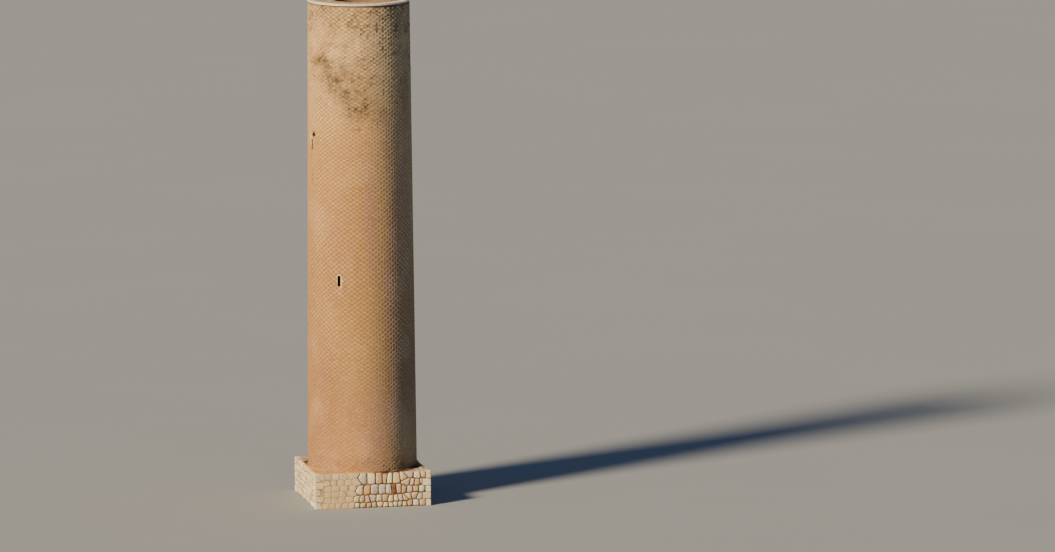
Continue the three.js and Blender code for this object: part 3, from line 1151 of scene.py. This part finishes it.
def add_carpet(name, inner, edge, level, paint, material, foot):
    """A closed uneven layer round the axis, with its outer radius from edge and its top from level."""
    points, colours = [], []
    for ring in range(CARPET_RINGS + 1):
        for k in range(CARPET_FACETS):
            azimuth = 360.0 * k / CARPET_FACETS
            radius = inner + (edge(azimuth) - inner) * ring / CARPET_RINGS
            place = on_shaft(azimuth, 0.0, radius)
            place[2] = level(place, radius)
            points.append(place)
            colours.append(paint(azimuth, radius, place))
    for ring in (CARPET_RINGS, 0):
        below = slice(ring * CARPET_FACETS, (ring + 1) * CARPET_FACETS)
        points += [np.array([x, y, foot]) for x, y, _ in points[below]]
        colours += colours[below]
    faces = loft(CARPET_FACETS, CARPET_RINGS + 3, closed=True, turned=True)
    piece = add_piece(name, points, faces, [material])
    set_paint(piece, colours)
    smooth(piece)
    return piece


def bumps(place, fine):
    """Unevenness of trodden earth, in metres."""
    x, y = place[0], place[1]
    broad = noise.noise(Vector((x * 3.0, y * 3.0, 4.0)))
    small = noise.noise(Vector((x * 11.0, y * 11.0, 8.0)))
    return fine * (2.0 * broad + small)


def wall_head_paint(azimuth, radius, place):
    """Khaki dust with cream scabs of old mortar and brown earth."""
    patch = noise.noise(Vector((place[0] * 2.1, place[1] * 2.1, 2.0)))
    scab = noise.noise(Vector((place[0] * 4.6, place[1] * 4.6, 6.0)))
    colour = blend(tint(208, 186, 140), tint(170, 143, 102), within(1.6 * patch + 0.2))
    return blend(colour, tint(244, 222, 168), within(3.0 * scab - 0.35))


def add_wall_head():
    """Trodden earth on the wall head, and rings of square bricks that show through it."""
    def level(place, radius):
        worn = 0.02 * math.exp(-(((radius - WELL_RADIUS) / 0.05) ** 2))
        return min(WALL_HEAD - 0.012 + bumps(place, 0.005) - worn, WALL_HEAD + 0.006)

    def edge(azimuth):
        return COPING_INNER + 0.01

    add_carpet("wall_head_earth", WELL_RADIUS + 0.002, edge, level, wall_head_paint,
               WALL_HEAD_EARTH, WALL_HEAD - 0.05)
    add_wall_head_bricks()


def add_wall_head_bricks():
    """Rings of square bricks, left out where the earth buries them."""
    blocks = Blocks()
    inner = WELL_RADIUS + 0.02
    outer = COPING_INNER - 0.03
    rings = int((outer - inner) / HEAD_BRICK_SIDE)
    step = (outer - inner) / rings
    for ring in range(rings):
        radius = inner + (ring + 0.5) * step
        count = int(2 * math.pi * radius / (HEAD_BRICK_SIDE + 0.02))
        for k in range(count):
            azimuth = 360.0 * (k + 0.5 * (ring % 2)) / count
            buried = noise.noise(Vector(on_shaft(azimuth, 0.0, radius)) * 1.1)
            if buried > -0.05 and ring > 0:
                continue
            right, up, out = shaft_frame(azimuth)
            level = WALL_HEAD + 0.004 - abs(rng.normal(0.0, 0.006))
            paint = blend(tint(206, 168, 124), tint(160, 132, 98), rng.random())
            size = (HEAD_BRICK_SIDE, step - 0.02, 0.05)
            blocks.add(on_shaft(azimuth, level, radius), (right, -out, up), size, paint, 0.006, 0.004)
    blocks.piece("wall_head_bricks", BRICK, "brickwork")


# Plinth

PALETTE = {
    "cream": tint(248, 226, 180),
    "white": tint(252, 240, 206),
    "beige": tint(238, 212, 164),
    "tan": tint(220, 186, 138),
    "mint": tint(228, 227, 196),
    "grey": tint(200, 190, 168),
    "lilac": tint(222, 204, 188),
    "pink": tint(236, 198, 162),
    "orange": tint(226, 176, 118),
    "yellow": tint(238, 216, 156),
    "rust": tint(142, 98, 70),
}
COMMON = {"cream": 22, "white": 16, "beige": 18, "tan": 10, "mint": 6, "grey": 8, "lilac": 6, "pink": 7,
          "orange": 3, "yellow": 4}

# Rows of rubble on the front's right, as the middle of each stone along the wall and its colour
FRONT_TOP_ROW = [(-0.50, "mint"), (-0.08, "cream"), (0.36, "pink"), (0.64, "tan"), (0.84, "white"),
                 (1.20, "yellow"), (1.62, "beige")]
FRONT_MIDDLE_ROW = [(-0.66, "white"), (-0.33, "orange"), (0.10, "lilac"), (0.50, "lilac"), (0.86, "mint"),
                    (1.10, "rust"), (1.34, "pink"), (1.62, "tan")]


class Stones:
    """Gathers domed stones, each over an outline on one face, into one mesh."""

    def __init__(self):
        self.points = []
        self.faces = []
        self.colours = []

    def add(self, outline, to_space, finish, setback, depth, paint):
        """Adds a stone, unless its outline is too small for one."""
        joint, dome, uneven, tilt = finish
        sunk = setback + abs(rng.normal(0.0, uneven))
        middle = sum(outline, Vector((0.0, 0.0))) / len(outline)
        outline = rounded(rounded(outline, 0.12), 0.24)
        reach = min((p - middle).length for p in outline)
        if reach < 0.03:
            return
        crown = Vector(rng.normal(0.0, 0.16 * reach, 2))
        shrink = max(1.0 - joint / 2 / reach, 0.6)
        lean = rng.normal(0.0, tilt, 2)
        rings = [(shrink, -depth), (shrink, -dome)]
        rings += [(shrink * 0.95, -0.5 * dome), (shrink * 0.82, -0.15 * dome), (shrink * 0.5, 0.0)]
        start, size = len(self.points), len(outline)
        for ring, (scale, out) in enumerate(rings):
            for p in outline:
                flat = middle + (p - middle) * scale + crown * (1.0 - scale / shrink)
                rough = abs(rng.normal(0.0, 0.15 * dome)) if ring > 1 else 0.0
                leaning = (flat - middle).dot(Vector(lean)) if ring else 0.0
                self.points.append(to_space(flat.x, flat.y, min(out - rough - sunk + leaning, 0.0)))
        top = middle + crown
        self.points.append(to_space(top.x, top.y, -sunk - abs(rng.normal(0.0, 0.1 * dome))))
        self.faces += loft(size, len(rings), start)
        last = start + (len(rings) - 1) * size
        centre = len(self.points) - 1
        self.faces += [(last + k, last + (k + 1) % size, centre) for k in range(size)]
        self.faces.append(cap(size, start, turned=True))
        self.colours += [paint] * (len(rings) * size + 1)

    def piece(self, name, slot):
        piece = add_piece(name, self.points, self.faces, [STONE])
        set_paint(piece, self.colours)
        smooth(piece)
        return piece


def rounded(outline, cut):
    """An outline with each corner cut once."""
    result = []
    for k, point in enumerate(outline):
        after = outline[(k + 1) % len(outline)]
        result.append(point * (1.0 - cut) + after * cut)
        result.append(point * cut + after * (1.0 - cut))
    return result


def clipped(outline, middle, way):
    """The part of a convex outline that lies behind a line through middle, square to way."""
    kept = []
    for k, a in enumerate(outline):
        b = outline[(k + 1) % len(outline)]
        ahead_a, ahead_b = (a - middle).dot(way), (b - middle).dot(way)
        if ahead_a <= 0.0:
            kept.append(a)
        if (ahead_a < 0.0) != (ahead_b < 0.0):
            kept.append(a + (b - a) * (ahead_a / (ahead_a - ahead_b)))
    return kept


def cells(seeds, low, high, flatness):
    """Outlines of what is nearer to each seed than to the others. Flatness evens the bed joints."""
    stretched = [Vector((x, y * flatness)) for x, y in seeds]
    corners = [(low[0], low[1]), (high[0], low[1]), (high[0], high[1]), (low[0], high[1])]
    outlines = []
    for seed in stretched:
        outline = [Vector((x, y * flatness)) for x, y in corners]
        neighbours = sorted(stretched, key=lambda other: (other - seed).length)[1:16]
        for other in neighbours:
            outline = clipped(outline, (seed + other) / 2, other - seed)
        outlines.append([Vector((p.x, p.y / flatness)) for p in outline])
    return outlines


def random_paint():
    names, odds = list(COMMON), np.array(list(COMMON.values()), dtype=float)
    return PALETTE[names[rng.choice(len(names), p=odds / odds.sum())]] * rng.uniform(0.88, 1.10)


def even_paint():
    return blend(tint(238, 208, 154), tint(244, 218, 170), rng.random()) * rng.uniform(0.93, 1.03)


def plinth_side(number):
    """Maps a point on one side, by its run, height and distance out, into the frame. 0 is the front."""
    turn = number * math.pi / 2
    right = Vector((math.cos(turn), math.sin(turn), 0.0))
    out = Vector((math.sin(turn), -math.cos(turn), 0.0))

    def to_space(run, height, proud):
        place = right * run + out * (HALF_SIDE + proud)
        return (place.x, place.y, height)

    return to_space


class Rubble:
    """Seeds of the stones on one side, with each stone's colour and finish."""

    def __init__(self):
        self.seeds = []
        self.looks = []

    def put(self, run, height, paint, finish=ROUGH_FINISH):
        self.seeds.append((run, height))
        self.looks.append((paint, finish))

    def rows(self, start, end, levels, narrowest, broadest, paint, finish=ROUGH_FINISH):
        """Fills a stretch with rows of stones between the levels."""
        for low, high in zip(levels, levels[1:]):
            lift = 0.10 * (high - low)
            run = start + rng.uniform(0.1, 0.5) * broadest
            while run < end:
                self.put(run, (low + high) / 2 + rng.uniform(-lift, lift), paint(), finish)
                run += rng.uniform(narrowest, broadest)


def front_rubble():
    """The front as in the photograph: even pale stone on the left, rough mixed stone on the right."""
    rubble = Rubble()
    rubble.rows(-2.85, -0.85, np.linspace(0.0, LEDGE, 7), 0.28, 0.46, even_paint, EVEN_FINISH)
    for level, row in ((1.50, FRONT_TOP_ROW), (0.90, FRONT_MIDDLE_ROW)):
        for run, name in row:
            rubble.put(run, level + rng.uniform(-0.03, 0.03), PALETTE[name] * rng.uniform(0.92, 1.04))
    rubble.rows(-0.95, 1.75, [0.0, 0.26, 0.58], 0.20, 0.36, random_paint)
    rubble.rows(1.75, 2.9, np.linspace(0.0, LEDGE, 6), 0.20, 0.38, random_paint)
    return rubble


def plain_rubble():
    """A side that the photograph doesn't show: rough mixed stone in rows."""
    rubble = Rubble()
    rubble.rows(-2.85, 2.9, [0.0, 0.30, 0.57, 0.86, 1.17, 1.47, LEDGE], 0.24, 0.50, random_paint)
    return rubble


def quoin_length(side, course):
    """How far the corner blocks of a course reach along a side."""
    return QUOIN_LONG if (side + course) % 2 == 1 else QUOIN_SHORT


def beside_quoins(outline, side):
    """The part of a stone's outline between the corner blocks of the courses that it lies in."""
    low, high = min(p.y for p in outline), max(p.y for p in outline)
    for course in range(len(QUOIN_LEVELS) - 1):
        overlap = min(high, QUOIN_LEVELS[course + 1]) - max(low, QUOIN_LEVELS[course])
        if overlap > 0.07:
            limit = HALF_SIDE - quoin_length(side, course) - 0.004
            outline = clipped(outline, Vector((limit, 0.0)), Vector((1.0, 0.0)))
            outline = clipped(outline, Vector((-limit, 0.0)), Vector((-1.0, 0.0)))
    return outline


def add_plinth_side(number, name, node, rubble):
    """One side's stones between its quoins."""
    stones = Stones()
    to_space = plinth_side(number)
    end = HALF_SIDE - QUOIN_SHORT
    outlines = cells(rubble.seeds, (-end, 0.0), (end, LEDGE), BED_FLATNESS)
    for outline, (paint, finish) in zip(outlines, rubble.looks):
        if len(outline) >= 3:
            outline = beside_quoins(outline, number)
        if len(outline) < 3:
            continue
        at_top = max(p.y for p in outline) > LEDGE - 0.01
        depth = TOP_STONE_DEPTH if at_top else STONE_DEPTH
        stones.add(outline, to_space, finish, STONE_SETBACK, depth, paint)
    piece = stones.piece(name, "plinth_stone")
    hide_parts(node)


def add_quoins():
    """Larger squared blocks at the four corners, long on one side and short on the other by turns."""
    points, faces, colours = [], [], []
    for corner in range(4):
        turn = corner * math.pi / 2
        right = np.array([math.cos(turn), math.sin(turn)])
        out = np.array([math.sin(turn), -math.cos(turn)])
        for course in range(len(QUOIN_LEVELS) - 1):
            low, high = QUOIN_LEVELS[course] + QUOIN_BED, QUOIN_LEVELS[course + 1] - QUOIN_BED
            if course == 0:
                low = 0.0
            if course == len(QUOIN_LEVELS) - 2:
                high = LEDGE
            lengths = (quoin_length(corner, course), quoin_length(corner + 1, course))
            add_quoin(points, faces, (right, out), lengths, low, high)
            name = ("cream", "white", "white", "cream", "beige")[rng.integers(5)]
            colours += [PALETTE[name] * rng.uniform(0.96, 1.06)] * (len(points) - len(colours))
    piece = add_piece("plinth_quoins", points, faces, [STONE])
    set_paint(piece, colours)


def add_quoin(points, faces, sides, lengths, low, high):
    """One corner block with worn edges. Its rings run from the underside to the top."""
    right, out = sides
    edge = QUOIN_EDGE
    this_end, next_end = (HALF_SIDE - length + QUOIN_JOINT for length in lengths)
    inner = HALF_SIDE - QUOIN_DEPTH
    faces += tube(6, 4, len(points))
    for height, inset in ((low, edge), (low + edge, 0.0), (high - edge, 0.0), (high, edge)):
        face = HALF_SIDE - inset
        plan = [
            (this_end, face - edge * 0.4),
            (face - edge, face),
            (face, face - edge),
            (face - edge * 0.4, next_end),
            (inner, next_end),
            (this_end, inner),
        ]
        for u, v in plan:
            wobble = np.abs(rng.normal(0.0, 0.002, 2))
            place = right * min(u - wobble[0], HALF_SIDE) + out * min(v - wobble[1], HALF_SIDE)
            points.append((place[0], place[1], height))


def add_plinth_backing():
    """Mortar behind the plinth's stones: deep in the joints, and nearly flush at the front's left."""
    inset, flush = HALF_SIDE - MORTAR_SETBACK, HALF_SIDE - EVEN_MORTAR_SETBACK
    left, right = -HALF_SIDE + 0.10, EVEN_STONE_END
    even = [(left, -flush), (right - 0.14, -flush), (right + 0.04, -inset), (left, -inset)]
    dark, pale = tint(152, 122, 88), tint(212, 176, 124)
    points, faces, colours = [], [], []
    for plan, top, colour in ((SQUARE * inset, FOOT, dark), (even, LEDGE - 0.05, pale)):
        faces += box_faces(4, len(points))
        points += [(x, y, z) for z in (0.0, top) for x, y in plan]
        colours += [colour] * 8
    backing = add_piece("plinth_mortar", points, faces, [PLINTH_MORTAR])
    set_paint(backing, colours)
    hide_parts("plinth_rubble_fill")


# Ledge


def ledge_paint(azimuth, radius, place):
    """Golden dust at the front left, pale by the edge, and a dark colour beside the shaft: soil with
    painted shadow on the right front, and darker at the back left and at the back.
    """
    dust, soil_and_shadow, pale = tint(226, 176, 100), tint(92, 60, 42), tint(224, 196, 156)
    beside = falling(radius, 3.35, 0.25)
    # Painted shadow: beside the shaft on the right front the soil is darkened where shadow falls
    right_front_soil_and_shadow, left_back = near(azimuth, 36.0, 46.0), near(azimuth, -122.0, 36.0)
    dark = within(max(2.0 * right_front_soil_and_shadow, 2.0 * left_back, 0.6 * near(azimuth, 150.0, 60.0)))
    patch = 0.5 + 0.9 * noise.noise(Vector((place[0] * 2.3, place[1] * 2.3, 1.0)))
    colour = blend(pale, dust, within(patch + 0.25))
    if abs(turn_between(azimuth, -40.0)) < 50.0:
        colour = dust
    return blend(colour, soil_and_shadow, dark * beside * within(patch + 0.55))


def add_ledge():
    """Uneven bedding over the ledge, banked a little against the shaft's foot, with flat stones in it."""
    def edge(azimuth):
        angle = math.radians(azimuth)
        return (HALF_SIDE - EDGE_STRIP) / max(abs(math.sin(angle)), abs(math.cos(angle)))

    def level(place, radius):
        bank = BANK_HEIGHT * math.exp(-(((radius - FOOT_RADIUS) / BANK_WIDTH) ** 2))
        return LEDGE - 0.018 + bank + bumps(place, 0.006)

    ledge = add_carpet("ledge_bedding", FOOT_RADIUS - 0.05, edge, level, ledge_paint,
                       LEDGE_EARTH, FOOT - 0.02)
    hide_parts("ledge_front_right", "ledge_back_right", "ledge_back_left", "ledge_front_left")
    add_ledge_stones()


def on_ledge(x, y, proud):
    return (x, y, LEDGE + 0.004 + proud)


def add_ledge_stones():
    """Flat stones that show in the bedding at the ledge's four corners."""
    stones = Stones()
    reach = HALF_SIDE - EDGE_STRIP - 0.01
    seeds = []
    for column in np.arange(-reach, reach, LEDGE_STONE_PITCH):
        for row in np.arange(-reach, reach, LEDGE_STONE_PITCH):
            x, y = column + rng.uniform(0.0, 0.28), row + rng.uniform(0.0, 0.28)
            if math.hypot(x, y) > FOOT_RADIUS - 0.1:
                seeds.append((x, y))
    outlines = cells(seeds, (-reach, -reach), (reach, reach), 1.0)
    for (x, y), outline in zip(seeds, outlines):
        nearest = min(p.length for p in outline)
        azimuth = math.degrees(math.atan2(x, -y))
        bare = 0.30 if abs(turn_between(azimuth, 45.0)) < 30.0 else 0.16
        if nearest < FOOT_RADIUS + bare or rng.random() < 0.12:
            continue
        paint = blend(tint(212, 188, 164), tint(190, 168, 140), rng.random())
        stones.add(outline, on_ledge, LEDGE_FINISH, 0.0, LEDGE_STONE_DEPTH, paint)
    stones.piece("ledge_stones", "ledge_bedding")


def finish_cad_nodes():
    """Gives the pieces whose own solids show their materials."""
    finishes = {"well_floor": WELL_BRICK, "doorway_threshold": THRESHOLD}
    for node, material in finishes.items():
        piece = frame["nodes"][node]
        piece.data.materials.clear()
        piece.data.materials.append(material)


# Studio


def add_camera():
    azimuth, roll = math.radians(CAMERA_AZIMUTH), math.radians(CAMERA_ROLL)
    back = towards(CAMERA_AZIMUTH, CAMERA_ELEVATION)
    right = Vector((math.cos(azimuth), math.sin(azimuth), 0.0))
    up = back.cross(right)
    aim = right * AIM_RIGHT + Vector((0.0, 0.0, AIM_HEIGHT))
    across = right * math.cos(roll) + up * math.sin(roll)
    upward = up * math.cos(roll) - right * math.sin(roll)
    data = bpy.data.cameras.new("camera")
    data.sensor_width = SENSOR_WIDTH
    data.lens = FOCAL_PIXELS / PHOTO_WIDTH * SENSOR_WIDTH
    data.clip_start = 1.0
    data.clip_end = 4000.0
    camera = bpy.data.objects.new("camera", data)
    turn = Matrix((across, upward, back)).transposed().to_4x4()
    camera.matrix_world = Matrix.Translation(aim + back * CAMERA_DISTANCE) @ turn
    bpy.context.scene.collection.objects.link(camera)
    bpy.context.scene.camera = camera


def add_lights():
    data = bpy.data.lights.new("sun", "SUN")
    data.energy = SUN_STRENGTH
    data.angle = math.radians(SUN_SOFTNESS)
    data.color = SUN_COLOUR
    sun = bpy.data.objects.new("sun", data)
    sun.rotation_mode = "QUATERNION"
    sun.rotation_quaternion = towards(SUN_AZIMUTH, SUN_ELEVATION).to_track_quat("Z", "Y")
    bpy.context.scene.collection.objects.link(sun)
    world = bpy.data.worlds.new("studio")
    world.use_nodes = True
    background = world.node_tree.nodes["Background"]
    background.inputs["Color"].default_value = (*SKY_COLOUR, 1.0)
    background.inputs["Strength"].default_value = SKY_STRENGTH
    bpy.context.scene.world = world


def add_studio_floor():
    corners = [(x, y, 0.0) for x, y in SQUARE * FLOOR_HALF_SIDE]
    floor = new_object("studio_floor", corners, [cap(4)], [floor_material()])
    floor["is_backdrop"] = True


add_camera()
add_lights()
add_studio_floor()
add_shaft_core()
add_face_bricks()
add_slit_plaster()
add_slit_shade_linings()
add_doorway_arch()
add_doorway_jambs()
add_coping()
add_wall_head()
add_plinth_backing()
for number, side in enumerate(("front", "right", "back", "left")):
    rubble = front_rubble() if side == "front" else plain_rubble()
    add_plinth_side(number, f"plinth_{side}_stones", f"plinth_{side}_wall", rubble)
add_quoins()
add_ledge()
finish_cad_nodes()

[[list(map(float, corner)) for corner in box] for box in (CAD_BOX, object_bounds())]
